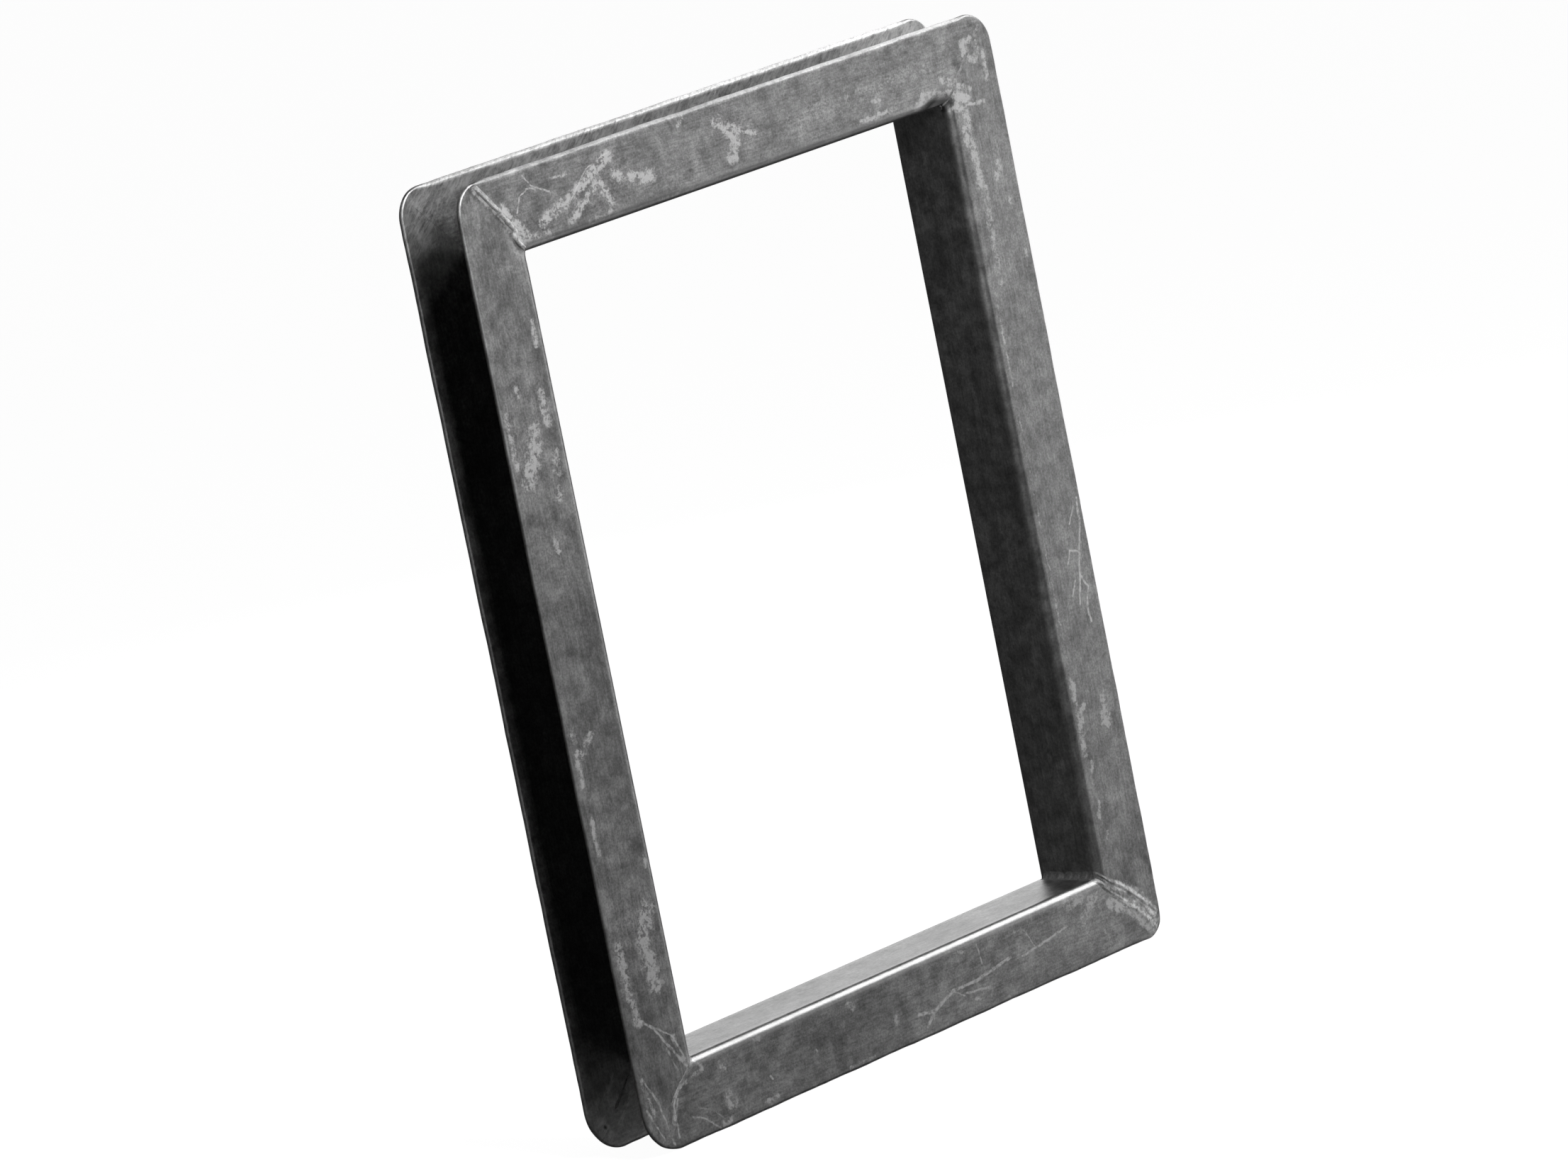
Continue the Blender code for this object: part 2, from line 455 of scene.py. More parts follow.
# Half width, height and lumpiness of each front bead, in mm.
FRONT_BEADS = {
    "top_left": (2.0, 0.40, 0.8),
    "top_right": (1.2, 0.10, 0.5),
    "bottom_right": (8.5, 0.40, 0.9),
    "bottom_left": (1.8, 0.18, 0.7),
}


def build_front_bead(corner, seed, material):
    """The ground weld on a front mitre, over the bend and into the opening's corner."""
    half_width, height, lumps = FRONT_BEADS[corner]
    first = TIP_LENGTH
    last = FLAT + BEND_LENGTH * 0.85
    ridge = two_ridges if corner == "bottom_right" else one_ridge
    rings = bead_rings(corner, first, last, half_width * MM, height * MM, lumps, seed, ridge)
    build_bead(corner + "_front_bead", [corner + "_front_weld"], rings, material)


def build_back_beads(corner, seed, material):
    """The weld on a back mitre. The lower left one is left open between its ends."""
    total = 2 * HALF_SECTION
    last = total - TIP_LENGTH
    bend_start = total - FLAT - BEND_LENGTH * 0.85
    size = (1.7 * MM, 0.34 * MM, 0.8)
    if corner != "bottom_left":
        rings = bead_rings(corner, bend_start, last, *size, seed)
        build_bead(corner + "_back_bead", [corner + "_back_weld"], rings, material)
        return
    rings = bead_rings(corner, total - FLANGE + SLIT_END, last, *size, seed)
    build_bead(corner + "_back_bead", [corner + "_back_weld"], rings, material)
    rings = bead_rings(corner, bend_start, total - FLANGE + SLIT_START, *size, seed + 1)
    build_bead(corner + "_back_tack_bead", [corner + "_back_tack_weld"], rings, material)


def build_inside_bead(corner, seed, material):
    """The fillet weld down the corner of the opening, with its laid ripples."""
    _, sign_x, sign_z = CORNERS[corner]
    low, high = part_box(corner + "_inside_weld")
    size, lumps = (3.6 * MM, 0.5) if corner == "bottom_right" else (2.6 * MM, 0.35)
    rings = []
    for y in np.arange(low.y, high.y, 0.6 * MM):
        laid = 0.05 * math.sin(y / (0.45 * MM)) + lumps * ripple(0, y, 0, 5 * MM, seed)
        leg = size * (1 + laid)
        outer = []
        inner = []
        for step in range(9):
            angle = math.pi / 2 * step / 8
            into = leg * (1 - math.sin(angle) * 0.80)
            up = leg * (1 - math.cos(angle) * 0.80)
            into = max(into - 0.2 * leg * math.sin(angle), -0.15 * MM)
            up = max(up - 0.2 * leg * math.cos(angle), -0.15 * MM)
            outer.append((into, up))
            inner.append((-0.2 * MM + 0.2 * into, -0.2 * MM + 0.2 * up))
        ring = []
        for into, up in outer + list(reversed(inner)):
            x = sign_x * (WIDTH / 2 - FLANGE - into)
            z = HEIGHT / 2 + sign_z * (HEIGHT / 2 - FLANGE - up)
            ring.append(Vector((x, y, z)))
        rings.append(ring)
    build_bead(corner + "_inside_bead", [corner + "_inside_weld"], rings, material)


# ---------------------------------------------------------------- marks

# Marks on the front face, in mm as points (from the left edge, from the top edge) along
# a stroke, then its half width and its strength.
SCUFFS_AND_EDGE_HIGHLIGHTS = (
    # top rail
    (((69, 11), (79, 11)), 1.8, 0.8),
    (((56, 30), (76, 24), (94, 16), (109, 9)), 5.5, 1.1),
    (((76, 34), (99, 20), (105, 32)), 5.0, 0.9),
    (((111, 20), (124, 24), (136, 26)), 7.0, 0.85),
    (((88, 38), (104, 38)), 4.0, 0.7),
    (((30, 20), (37, 30), (46, 38), (59, 40)), 7.0, 1.1),
    (((165, 3), (162, 7)), 2.2, 0.9),
    (((189, 12), (201, 20), (196, 31)), 7.5, 0.95),
    (((203, 20), (215, 23)), 2.0, 1.0),
    (((125, 40), (184, 39)), 3.0, 0.55),
    (((292, 36), (316, 35)), 2.6, 0.9),
    (((303, 28), (309, 28)), 1.8, 0.8),
    (((240, 24), (344, 20)), 12.0, 0.36),
    # top right corner
    (((335, 40), (342, 34), (352, 35), (362, 38), (373, 42)), 4.6, 1.2),
    (((358, 29), (376, 38)), 5.0, 0.75),
    (((362, 42), (370, 50), (368, 64)), 6.0, 1.0),
    (((369, 46), (386, 46)), 2.0, 0.9),
    (((377, 20), (378, 15), (383, 13), (387, 16)), 3.6, 1.2),
    (((388, 19), (385, 24), (381, 24)), 3.6, 1.15),
    (((378, 14), (379, 22)), 4.6, 1.1),
    (((392, 22), (391, 36)), 3.2, 0.95),
    # right rail
    (((370, 64), (372, 90)), 6.0, 0.85),
    (((373, 90), (372, 140)), 6.0, 0.5),
    (((388, 80), (384, 88)), 4.5, 0.8),
    (((391, 100), (391, 103)), 3.0, 0.9),
    (((395, 128), (395, 131)), 2.4, 0.8),
    (((388, 368), (386, 383)), 7.0, 0.75),
    (((371, 368), (367, 378)), 4.0, 1.0),
    # At 366 mm, along the flat's edge beside the inner bend: painted highlight, with scuff
    # marks in it.
    (((366, 353), (366, 393)), 3.4, 1.0),
    (((369, 398), (368, 404)), 2.2, 0.8),
    (((369, 420), (367, 427)), 2.4, 0.9),
    (((371, 436), (370, 440)), 2.2, 0.8),
    # The same painted highlight along the inner edge, higher up.
    (((366, 141), (366, 194)), 1.4, 0.8),
    (((366, 210), (366, 350)), 1.2, 0.5),
    # left rail
    (((35, 76), (34, 88)), 3.5, 0.7),
    (((31, 112), (31, 126)), 5.0, 0.85),
    (((21, 130), (17, 140), (11, 152)), 9.0, 1.0),
    (((4, 117), (4, 143)), 3.4, 0.95),
    (((14, 104), (15, 109)), 2.6, 0.9),
    (((20, 183), (21, 190)), 3.6, 0.85),
    (((32, 142), (29, 165)), 5.0, 0.65),
    (((17, 283), (8, 291)), 4.0, 0.9),
    (((5, 276), (5, 306)), 3.2, 0.85),
    (((6, 322), (6, 342)), 2.8, 0.95),
    (((37, 350), (36, 357)), 1.8, 0.9),
    (((31, 377), (24, 393), (27, 416)), 10.0, 0.9),
    (((6, 390), (7, 410), (9, 430)), 5.5, 0.95),
    # bottom rail
    (((189, 484), (190, 485)), 6.0, 0.6),
    (((60, 484), (62, 489)), 6.0, 0.85),
    (((60, 469), (62, 470)), 2.8, 0.8),
    (((86, 463), (90, 463)), 2.6, 0.8),
    (((156, 466), (160, 468)), 5.0, 0.5),
    (((86, 496), (94, 496)), 3.6, 0.85),
    (((54, 497), (60, 497)), 3.6, 0.8),
    (((150, 497), (170, 497)), 2.4, 0.7),
    (((330, 464), (352, 466), (340, 476)), 6.0, 0.75),
    (((234, 462), (248, 465)), 2.6, 0.6),
    (((288, 466), (296, 469)), 2.6, 0.6),
    (((354, 470), (356, 496)), 3.0, 0.45),
    # lower left corner
    (((31, 444), (34, 455), (39, 463)), 3.0, 0.9),
    (((61, 482), (64, 489)), 5.5, 0.8),
    (((3, 458), (9, 478)), 3.0, 0.6),
)

# Bright ground weld metal, in the same form, on the beads and the sheet beside them, and a
# painted highlight.
GROUND_WELD_AND_RIDGE_HIGHLIGHT = (
    (((371, 465), (381, 470), (388, 477), (394, 487)), 4.4, 1.3),
    (((364, 473), (378, 480), (384, 486), (391, 494)), 6.4, 1.4),
    # Upper left seam: ground weld metal and a painted highlight along the lit ridge of the
    # weld.
    (((12, 2), (26, 18), (36, 31), (40, 38)), 3.4, 1.0),
    (((42, 458), (47, 465), (29, 470), (24, 474), (20, 486)), 2.2, 0.7),
)

SCRATCHES = (
    # top rail
    (((40, 22), (43, 15), (49, 12), (56, 13), (64, 17)), 0.9, 0.9),
    (((48, 5), (55, 14)), 0.9, 0.8),
    (((76, 26), (92, 12), (112, 7)), 0.8, 0.7),
    # right rail
    (((397, 262), (395, 278), (391, 290), (388, 302), (384, 316)), 1.3, 1.0),
    (((391, 290), (384, 287), (381, 294)), 1.1, 0.9),
    (((388, 302), (393, 309), (389, 319), (390, 327)), 1.2, 1.0),
    (((384, 303), (380, 311)), 1.1, 0.8),
    (((393, 266), (388, 274)), 1.0, 0.8),
    # bottom rail
    (((206, 486), (219, 488), (234, 482), (252, 482), (281, 478)), 1.5, 1.1),
    (((211, 494), (216, 490), (224, 485)), 1.7, 1.0),
    (((244, 486), (262, 488)), 1.2, 0.9),
    (((250, 491), (253, 492)), 1.8, 0.9),
    (((234, 482), (242, 487)), 1.0, 0.8),
    (((290, 480), (306, 478), (327, 475)), 1.2, 0.9),
    (((258, 464), (259, 475)), 0.9, 0.8),
    (((296, 470), (301, 478)), 0.8, 0.6),
    (((93, 484), (94, 486)), 1.3, 0.9),
    (((128, 481), (129, 482)), 1.1, 0.8),
    # lower left corner
    (((9, 428), (19, 436), (25, 445), (38, 463)), 1.3, 1.0),
    (((20, 436), (31, 444), (36, 456)), 1.0, 0.8),
    (((26, 475), (22, 484), (22, 494)), 1.3, 0.9),
    (((4, 458), (12, 472), (18, 496)), 1.3, 1.0),
    (((3, 474), (12, 492)), 1.1, 0.9),
    (((34, 487), (43, 491), (52, 499)), 1.0, 0.8),
    (((40, 484), (50, 489), (58, 497)), 0.9, 0.6),
    (((25, 448), (30, 461)), 1.2, 0.7),
)

# Darker stains, in the same form.
STAINS = (
    (((155, 3), (158, 7)), 3.0, 0.8),
    (((44, 40), (60, 42)), 2.5, 0.8),
    (((370, 22), (375, 27)), 4.0, 0.9),
    (((385, 5), (388, 8)), 2.6, 0.9),
    (((368, 31), (376, 36)), 3.0, 0.5),
    (((386, 445), (379, 466)), 11.0, 0.7),
    (((396, 458), (398, 466)), 3.0, 0.9),
    (((34, 60), (33, 110)), 8.0, 0.45),
    (((31, 222), (32, 262)), 13.0, 0.65),
    (((33, 150), (26, 172)), 5.0, 0.6),
    (((35, 262), (35, 350)), 8.0, 0.4),
    (((12, 440), (18, 470)), 10.0, 0.35),
    (((372, 484), (384, 494)), 7.0, 0.6),
    (((120, 480), (180, 474)), 14.0, 0.25),
)

# Broad painted sheens, in the same form: lighter patches that stand for highlights.
SHEENS = (
    (((382, 405), (383, 440)), 14.0, 0.6),
    (((15, 185), (16, 212)), 12.0, 0.35),
    (((300, 480), (345, 480)), 26.0, 0.45),
    (((250, 30), (340, 24)), 18.0, 0.30),
    (((150, 33), (190, 33)), 12.0, 0.30),
)

# Ground patches and painted light on the inner side of the back flange, where it shows past
# the front.
BACK_FACE = DEPTH / 2 - SHEET - FACE_INSET
BACK_GRINDING_AND_PAINTED_LIGHT = (
    # Painted light: the upper left patch and the top strip, lit past the front flange, over
    # grinding marks.
    (((8, 25), (14, 12), (26, 6)), 17.0, 1.0),
    (((26, 3), (120, 3), (240, 3), (385, 4)), 10.0, 0.85),
    # The three lower left strokes are grinding marks.
    (((13, 474), (24, 463)), 3.5, 0.5),
    (((22, 487), (34, 475)), 3.5, 0.5),
    (((8, 482), (14, 491)), 5.0, 0.6),
)
# Painted shade of a pit beside the lower left back slit: nearly black, as the inside of a
# hole.
BACK_PIT_SHADE = (
    (((11, 486), (11.4, 486.4)), 1.8, 1.0),
)

# Painted shade where the top rail's bend is torn away beside the upper right corner of the
# opening.
TORN_FACE = 4.0 * MM - DEPTH / 2
TORN_BEND_SHADE = (
    (((346, 43.5), (352, 41.5), (360, 42)), 5.5, 1.2),
)

# How far from an outer edge, in mm, a mark may start and still be drawn on that rail.
CORNER_REACH = 50


def marks_on(marks, rail_name):
    """The marks that touch the band of the front face that a rail takes up."""
    tests = {
        "top_rail": lambda side, down: down < CORNER_REACH,
        "bottom_rail": lambda side, down: down > HEIGHT / MM - CORNER_REACH,
        "left_rail": lambda side, down: side < CORNER_REACH,
        "right_rail": lambda side, down: side > WIDTH / MM - CORNER_REACH,
    }
    touches = tests[rail_name]
    return [mark for mark in marks if any(touches(*point) for point in mark[0])]


# ---------------------------------------------------------------- materials


def stroke_group():
    """A node group: how near a point is to a line, 1 on the line and 0 at its width."""
    tree = bpy.data.node_groups.new("stroke_mask", "ShaderNodeTree")
    for name in ("Point", "Start", "End"):
        tree.interface.new_socket(name, in_out="INPUT", socket_type="NodeSocketVector")
    for name in ("Width", "Strength"):
        tree.interface.new_socket(name, in_out="INPUT", socket_type="NodeSocketFloat")
    tree.interface.new_socket("Mask", in_out="OUTPUT", socket_type="NodeSocketFloat")
    given = tree.nodes.new("NodeGroupInput").outputs

    def vector_math(operation, first, second, output="Vector"):
        made = tree.nodes.new("ShaderNodeVectorMath")
        made.operation = operation
        tree.links.new(first, made.inputs[0])
        tree.links.new(second, made.inputs[3 if operation == "SCALE" else 1])
        return made.outputs[output]

    def share_math(operation, first, second):
        made = tree.nodes.new("ShaderNodeMath")
        made.operation = operation
        tree.links.new(first, made.inputs[0])
        if isinstance(second, float):
            made.inputs[1].default_value = second
        else:
            tree.links.new(second, made.inputs[1])
        return made.outputs[0]

    line = vector_math("SUBTRACT", given["End"], given["Start"])
    offset = vector_math("SUBTRACT", given["Point"], given["Start"])
    along = vector_math("DOT_PRODUCT", offset, line, "Value")
    length = vector_math("DOT_PRODUCT", line, line, "Value")
    share = share_math("DIVIDE", along, length)
    share = share_math("MAXIMUM", share, 0.0)
    share = share_math("MINIMUM", share, 1.0)
    nearest = vector_math("SCALE", line, share)
    gap = vector_math("DISTANCE", offset, nearest, "Value")
    fall = tree.nodes.new("ShaderNodeMapRange")
    fall.interpolation_type = "SMOOTHSTEP"
    tree.links.new(gap, fall.inputs["Value"])
    tree.links.new(given["Width"], fall.inputs["From Max"])
    tree.links.new(given["Strength"], fall.inputs["To Min"])
    fall.inputs["To Max"].default_value = 0.0
    tree.links.new(fall.outputs["Result"], tree.nodes.new("NodeGroupOutput").inputs["Mask"])
    return tree


class Graph:
    """A material's node tree, with methods that add a node and return its output."""

    def __init__(self, name):
        self.material = bpy.data.materials.new(name)
        self.material.use_nodes = True
        self.tree = self.material.node_tree
        self.shader = self.tree.nodes["Principled BSDF"]

    def node(self, kind, inputs, output=0, **settings):
        made = self.tree.nodes.new(kind)
        for key, value in settings.items():
            setattr(made, key, value)
        for key, value in inputs.items():
            self.feed(made.inputs[key], value)
        return made.outputs[output]

    def feed(self, socket, value):
        if isinstance(value, bpy.types.NodeSocket):
            self.tree.links.new(value, socket)
        else:
            socket.default_value = value

    def math(self, operation, first, second=0.0):
        return self.node("ShaderNodeMath", {0: first, 1: second}, operation=operation)

    def plus(self, first, second):
        return self.math("ADD", first, second)

    def times(self, first, second):
        return self.math("MULTIPLY", first, second)

    def vector(self, operation, first, second):
        key = 3 if operation == "SCALE" else 1
        return self.node("ShaderNodeVectorMath", {0: first, key: second}, operation=operation)

    def noise(self, point, size, detail=4.0, roughness=0.55, distortion=0.0, output="Fac"):
        inputs = {
            "Vector": point,
            "Scale": 1.0 / size,
            "Detail": detail,
            "Roughness": roughness,
            "Distortion": distortion,
        }
        return self.node("ShaderNodeTexNoise", inputs, output)

    def remap(self, value, low, high, to_low=0.0, to_high=1.0):
        inputs = {
            "Value": value,
            "From Min": low,
            "From Max": high,
            "To Min": to_low,
            "To Max": to_high,
        }
        return self.node("ShaderNodeMapRange", inputs, interpolation_type="SMOOTHSTEP")

    def blend(self, share, first, second):
        """From the first grey value to the second as share goes from 0 to 1."""
        inputs = {"Factor": share, "A": first, "B": second}
        return self.node("ShaderNodeMix", inputs, data_type="FLOAT")

    def attribute(self, name):
        return self.node("ShaderNodeAttribute", {}, "Fac", attribute_name=name)

    def place(self):
        """The point on the object in millimetres, in the frame's own coordinates."""
        coordinates = self.node("ShaderNodeTexCoord", {}, "Object")
        return self.vector("SCALE", coordinates, 1 / MM)

    def warped(self, point, size, amount):
        """The point pushed about by noise, so that what it draws has uneven edges."""
        push = self.noise(point, size, 3, output="Color")
        push = self.vector("SUBTRACT", push, (0.5, 0.5, 0.5))
        push = self.vector("SCALE", push, 2 * amount)
        return self.vector("ADD", point, push)

    def strokes(self, point, marks, face=FACE_INSET - DEPTH / 2):
        """The strongest of the marks at a point, from 0 to 1. face is their depth."""
        strongest = 0.0
        for path, width, strength in marks:
            points = [
                (side - WIDTH / 2 / MM, face / MM, HEIGHT / MM - down) for side, down in path
            ]
            for start, end in zip(points, points[1:]):
                made = self.tree.nodes.new("ShaderNodeGroup")
                made.node_tree = STROKE
                made.inputs["Start"].default_value = start
                made.inputs["End"].default_value = end
                made.inputs["Width"].default_value = width
                made.inputs["Strength"].default_value = strength
                self.tree.links.new(point, made.inputs["Point"])
                strongest = self.math("MAXIMUM", strongest, made.outputs["Mask"])
        return strongest

    def bump(self, height, strength, distance):
        inputs = {"Height": height, "Strength": strength, "Distance": distance}
        normal = self.node("ShaderNodeBump", inputs)
        self.feed(self.shader.inputs["Normal"], normal)


STROKE = stroke_group()


def patchy(graph, mask, grain, fine):
    """A mask broken up by two grain noises, so that it is dense in the middle only."""
    share = graph.times(mask, graph.remap(grain, 0.34, 0.66, 0.05, 1.25))
    share = graph.times(share, graph.remap(fine, 0.30, 0.70, 0.50, 1.30))
    return graph.remap(share, 0.12, 0.64)


def sheet_metal(rail_name, across):
    """Dull folded steel: mottled, brushed along the rail, scuffed and scratched, with painted
    light and shade.
    """
    graph = Graph(rail_name + "_worn_steel")
    place = graph.place()
    stretch = (0.10, 1.0, 1.0) if across > 0 else (1.0, 1.0, 0.10)
    brushed = graph.vector("MULTIPLY", graph.warped(place, 20.0, 1.0), stretch)
    streaks = graph.noise(brushed, 1.1, 5, 0.72)
    clouds = graph.noise(place, 55.0, 3)
    mottle = graph.noise(graph.warped(place, 9.0, 3.0), 8.0, 6, 0.66)
    speck = graph.noise(place, 1.15, 3, 0.7)
    grain = graph.noise(graph.warped(place, 5.0, 1.2), 4.2, 6, 0.72)
    veins = graph.math("ABSOLUTE", graph.plus(graph.noise(place, 7.0, 2, 0.5, 0.6), -0.5))
    veins = graph.remap(veins, 0.0, 0.016, 1.0, 0.0)

    drawn = graph.warped(place, 7.0, 2.2)
    lines = graph.warped(place, 5.0, 1.1)
    # Scuff marks, the painted highlight along the right rail's inner edge, and the ground
    # weld's lighter metal.
    scuff_and_highlight_mask = graph.strokes(drawn, marks_on(SCUFFS_AND_EDGE_HIGHLIGHTS + GROUND_WELD_AND_RIDGE_HIGHLIGHT, rail_name))
    scuffs_and_highlights = patchy(graph, scuff_and_highlight_mask, grain, speck)
    halo = graph.remap(scuff_and_highlight_mask, 0.0, 0.9, 0.0, 1.0)
    broken = graph.remap(graph.noise(place, 2.4, 3, 0.6), 0.3, 0.6, 0.1, 1.0)
    scratches = graph.strokes(lines, marks_on(SCRATCHES, rail_name))
    scratches = graph.times(graph.remap(scratches, 0.1, 0.8), broken)
    stains = graph.strokes(graph.warped(place, 14.0, 4.0), marks_on(STAINS, rail_name))
    sheens = graph.strokes(graph.warped(place, 30.0, 6.0), marks_on(SHEENS, rail_name))
    diagonal = graph.node("ShaderNodeMapping", {"Vector": place, "Rotation": (0, 0.7, 0)})
    diagonal = graph.vector("MULTIPLY", graph.warped(diagonal, 12.0, 1.5), (0.22, 1.0, 1.0))
    grinding = graph.noise(diagonal, 1.5, 5, 0.75)
    uneven = graph.warped(place, 8.0, 3.0)
    # ground: grinding marks and painted light, lighter where light falls past the front
    # flange.
    ground = graph.strokes(uneven, marks_on(BACK_GRINDING_AND_PAINTED_LIGHT, rail_name), BACK_FACE)
    ground = graph.remap(ground, 0.0, 0.6)
    ground = graph.times(ground, graph.remap(grinding, 0.38, 0.62, 0.05, 1.0))
    # Painted shade of the pit and, two lines below, of the torn bend, joined in one mask.
    hole_shade = graph.strokes(place, marks_on(BACK_PIT_SHADE, rail_name), BACK_FACE)
    ragged = graph.warped(place, 4.0, 0.8)
    # Painted shade of the torn bend: darkens the bend where shade shows through the tear.
    torn_bend_shade = graph.strokes(ragged, marks_on(TORN_BEND_SHADE, rail_name), TORN_FACE)
    hole_shade = graph.math("MAXIMUM", hole_shade, graph.remap(torn_bend_shade, 0.0, 0.6))
    wear = graph.attribute("tip_wear")
    worn_edge = graph.times(wear, graph.remap(graph.noise(place, 4.0, 4), 0.35, 0.6, 0.4, 1.0))
    polish = graph.times(graph.attribute("bend_polish"), 1.0 if across > 0 else 0.3)

    tone = graph.remap(clouds, 0.3, 0.7, 0.27, 0.33)
    tone = graph.times(tone, graph.remap(mottle, 0.25, 0.75, 0.72, 1.28))
    tone = graph.times(tone, graph.remap(graph.noise(place, 19.0, 2), 0.3, 0.7, 0.90, 1.10))
    tone = graph.times(tone, graph.remap(speck, 0.2, 0.8, 0.70, 1.30))
    tone = graph.times(tone, graph.remap(streaks, 0.25, 0.75, 0.78, 1.22))
    # Painted highlight: lighter where the sheens lie.
    tone = graph.times(tone, graph.plus(graph.times(sheens, 0.35), 1.0))
    tone = graph.times(tone, graph.plus(graph.times(stains, -0.42), 1.0))
    vein_share = graph.times(veins, graph.plus(graph.times(halo, 0.45), 0.07))
    tone = graph.times(tone, graph.plus(vein_share, 1.0))
    tone = graph.blend(graph.times(halo, 0.30), tone, 0.40)
    tone = graph.blend(graph.times(scuffs_and_highlights, 0.88), tone, 0.64)
    tone = graph.blend(graph.times(scratches, 0.90), tone, 0.72)
    # Painted light and grinding marks: the back flange's inner face is lighter where they lie.
    tone = graph.blend(graph.times(ground, 0.75), tone, 0.62)
    # Painted shade: the pit and the torn bend are darkened nearly to black.
    tone = graph.times(tone, graph.plus(graph.times(hole_shade, -0.85), 1.0))
    tone = graph.blend(graph.times(worn_edge, 0.35), tone, 0.48)
    tone = graph.blend(graph.times(polish, 0.4), tone, 0.42)
    graph.feed(graph.shader.inputs["Base Color"], tone)
    graph.shader.inputs["Metallic"].default_value = 1.0

    rough = graph.remap(mottle, 0.3, 0.7, 0.38, 0.47)
    rough = graph.blend(graph.times(scuffs_and_highlights, 0.8), rough, 0.56)
    rough = graph.blend(graph.times(scratches, 0.8), rough, 0.52)
    rough = graph.blend(polish, rough, 0.36)
    if across < 0:
        rough = graph.blend(wear, rough, 0.62)
    graph.feed(graph.shader.inputs["Roughness"], rough)

    height = graph.plus(graph.times(streaks, 0.35), graph.times(speck, 0.25))
    height = graph.plus(height, graph.times(mottle, 0.8))
    height = graph.plus(height, graph.times(scuffs_and_highlights, 0.35))
    height = graph.plus(height, graph.times(scratches, -0.5))
    graph.bump(height, 0.35, 0.10 * MM)
    return graph.material


def weld_metal():
    """Ground weld: brighter than the sheet, with spatter dots, dull pockets and a painted
    highlight.
    """
    graph = Graph("ground_weld_metal")
    place = graph.place()
    lumps = graph.noise(graph.warped(place, 2.5, 0.8), 2.2, 5, 0.65)
    spots = graph.node("ShaderNodeTexVoronoi", {"Vector": place, "Scale": 0.42}, "Distance")
    spots = graph.remap(spots, 0.16, 0.30, 1.0, 0.0)
    speck = graph.noise(place, 0.8, 3, 0.7)
    # Ground weld metal, with a painted highlight along the upper left seam's ridge.
    ground_metal_and_highlight = graph.strokes(graph.warped(place, 5.0, 1.2), GROUND_WELD_AND_RIDGE_HIGHLIGHT)
    ground_metal_and_highlight = graph.remap(ground_metal_and_highlight, 0.05, 0.7)
    ground_metal_and_highlight = graph.times(ground_metal_and_highlight, graph.remap(lumps, 0.35, 0.6, 0.25, 1.0))
    tone = graph.remap(lumps, 0.34, 0.66, 0.22, 0.42)
    tone = graph.times(tone, graph.remap(speck, 0.2, 0.8, 0.82, 1.18))
    tone = graph.blend(graph.times(ground_metal_and_highlight, 0.9), tone, 0.76)
    tone = graph.blend(graph.times(graph.times(spots, ground_metal_and_highlight), 0.7), tone, 0.78)
    graph.feed(graph.shader.inputs["Base Color"], tone)
    graph.shader.inputs["Metallic"].default_value = 1.0
    rough = graph.remap(lumps, 0.3, 0.7, 0.60, 0.46)
    graph.feed(graph.shader.inputs["Roughness"], rough)
    height = graph.plus(lumps, graph.times(spots, 0.5))
    graph.bump(height, 0.5, 0.15 * MM)
    return graph.material


# ---------------------------------------------------------------- studio


def look_frame(azimuth, elevation, roll):
    """Right, up and back directions of a camera, from its angles in degrees."""
    turn, rise, lean = (math.radians(angle) for angle in (azimuth, elevation, roll))
    back = Vector(
        (
            math.sin(turn) * math.cos(rise),
            -math.cos(turn) * math.cos(rise),
            math.sin(rise),
        )
    )
    level_right = Vector((0, 0, 1)).cross(back).normalized()
    level_up = back.cross(level_right)
    up = level_up * math.cos(lean) + level_right * math.sin(lean)
    return up.cross(back), up, back


def build_camera():
    """A long lens, turned to the left of the front face, a little above and rolled."""
    data = bpy.data.cameras.new("camera")
    data.sensor_width = 36
    data.lens = 228
    data.clip_start = 0.1
    data.clip_end = 100
    camera = add_object("camera", data)
    right, up, back = look_frame(azimuth=-45.2, elevation=10.3, roll=11.35)
    aim = Vector((-0.0044, 0.0029, HEIGHT / 2 - 0.0058))
    placed = Matrix((right, up, back)).transposed().to_4x4()
    placed.translation = aim + back * 5.066
    camera.matrix_world = placed
    bpy.context.scene.camera = camera


def area_light(name, direction, distance, size, power, length=None, turn=0):
    """A soft light, aimed at the middle of the frame from a direction.

    It is square, or a strip when a length is given, and turned about its own aim.
    """
    data = bpy.data.lights.new(name, "AREA")
    data.energy = power
    data.shape = "RECTANGLE"
    data.size = length or size
    data.size_y = size
    light = add_object(name, data)
    towards = Vector(direction).normalized()
    light.location = Vector((0, 0, HEIGHT / 2)) + towards * distance
    light.rotation_mode = "QUATERNION"
    spin = Quaternion((0, 0, 1), math.radians(turn))
    light.rotation_quaternion = towards.to_track_quat("Z", "Y") @ spin
    light.visible_camera = False


def build_lights():
    area_light("key_window", (0.70, -0.36, 0.50), 1.6, 0.5, 10.9, length=1.15, turn=36)
    area_light("front_high", (-0.19, -0.80, 0.76), 1.12, 0.35, 15.4)
    area_light("front_fill", (0.70, -0.69, -0.05), 3.0, 1.0, 1.5)
    area_light("low_right", (0.95, -0.45, -0.12), 1.6, 0.6, 2.0)
    area_light("floor_card", (0.70, -0.40, -0.60), 1.3, 0.6, 0.6)
    area_light("back_card", (0.70, 0.69, 0.20), 1.6, 0.6, 2.5)


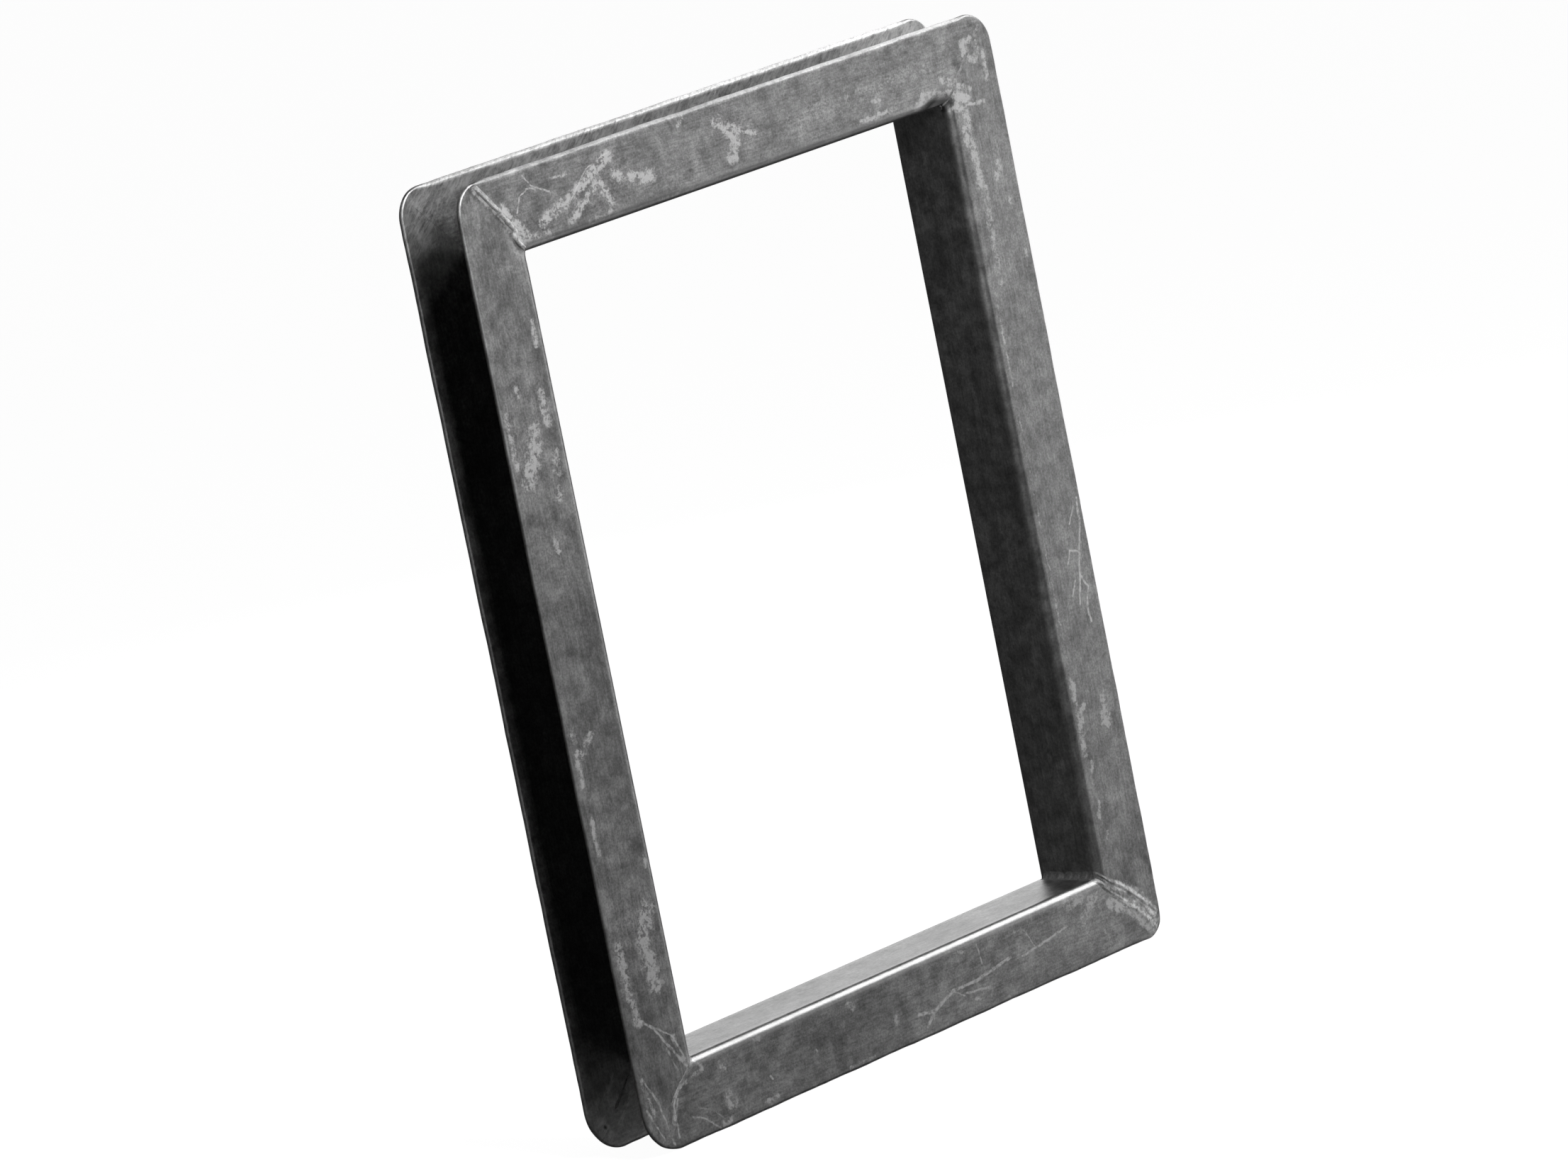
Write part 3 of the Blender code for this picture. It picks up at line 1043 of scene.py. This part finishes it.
def build_world():
    """Dim, nearly even surroundings for the metal, which look pale to the camera."""
    world = bpy.data.worlds.new("studio")
    world.use_nodes = True
    bpy.context.scene.world = world
    tree = world.node_tree
    direction = tree.nodes.new("ShaderNodeTexCoord").outputs["Generated"]
    split = tree.nodes.new("ShaderNodeSeparateXYZ")
    tree.links.new(direction, split.inputs[0])
    fall = tree.nodes.new("ShaderNodeMapRange")
    fall.interpolation_type = "SMOOTHSTEP"
    fall.inputs["From Min"].default_value = -0.15
    fall.inputs["From Max"].default_value = -0.75
    fall.inputs["To Min"].default_value = 0.047
    fall.inputs["To Max"].default_value = 0.052
    tree.links.new(split.outputs["Z"], fall.inputs["Value"])
    path = tree.nodes.new("ShaderNodeLightPath")
    shade = tree.nodes.new("ShaderNodeMix")
    tree.links.new(path.outputs["Is Camera Ray"], shade.inputs["Factor"])
    tree.links.new(fall.outputs["Result"], shade.inputs["A"])
    shade.inputs["B"].default_value = 0.95
    tree.links.new(shade.outputs["Result"], tree.nodes["Background"].inputs["Color"])


def build_floor():
    """A wide pale disc under the frame. It takes light but casts none on the metal."""
    shape = bmesh.new()
    bmesh.ops.create_circle(shape, cap_ends=True, segments=96, radius=16.0)
    mesh = bpy.data.meshes.new("floor")
    shape.to_mesh(mesh)
    shape.free()
    floor = add_object("floor", mesh)
    floor.location.z = CAD_LOW.z - 0.2 * MM
    floor.visible_diffuse = False
    floor.visible_glossy = False
    floor.visible_shadow = False
    graph = Graph("pale_floor")
    shader = graph.shader
    shader.inputs["Base Color"].default_value = (0.12, 0.12, 0.12, 1)
    shader.inputs["Roughness"].default_value = 0.9
    shader.inputs["Specular IOR Level"].default_value = 0.0
    shader.inputs["Emission Color"].default_value = (1, 1, 1, 1)
    shader.inputs["Emission Strength"].default_value = 0.97
    floor.data.materials.append(graph.material)


# ---------------------------------------------------------------- assembly


def main():
    weld = weld_metal()
    for name, start_corner, end_corner, across in RAILS:
        sheet = sheet_metal(name, across)
        build_rail(name, start_corner, end_corner, across, sheet)
    for seed, corner in enumerate(CORNERS):
        build_front_bead(corner, 11.0 + seed, weld)
        build_back_beads(corner, 31.0 + seed, weld)
        build_inside_bead(corner, 51.0 + seed, weld)
    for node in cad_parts.values():
        if not node.hide_render:
            node.data.materials.clear()
            node.data.materials.append(weld)
    build_floor()
    build_world()
    build_lights()
    build_camera()
    bpy.context.scene.view_settings.view_transform = "Standard"


main()
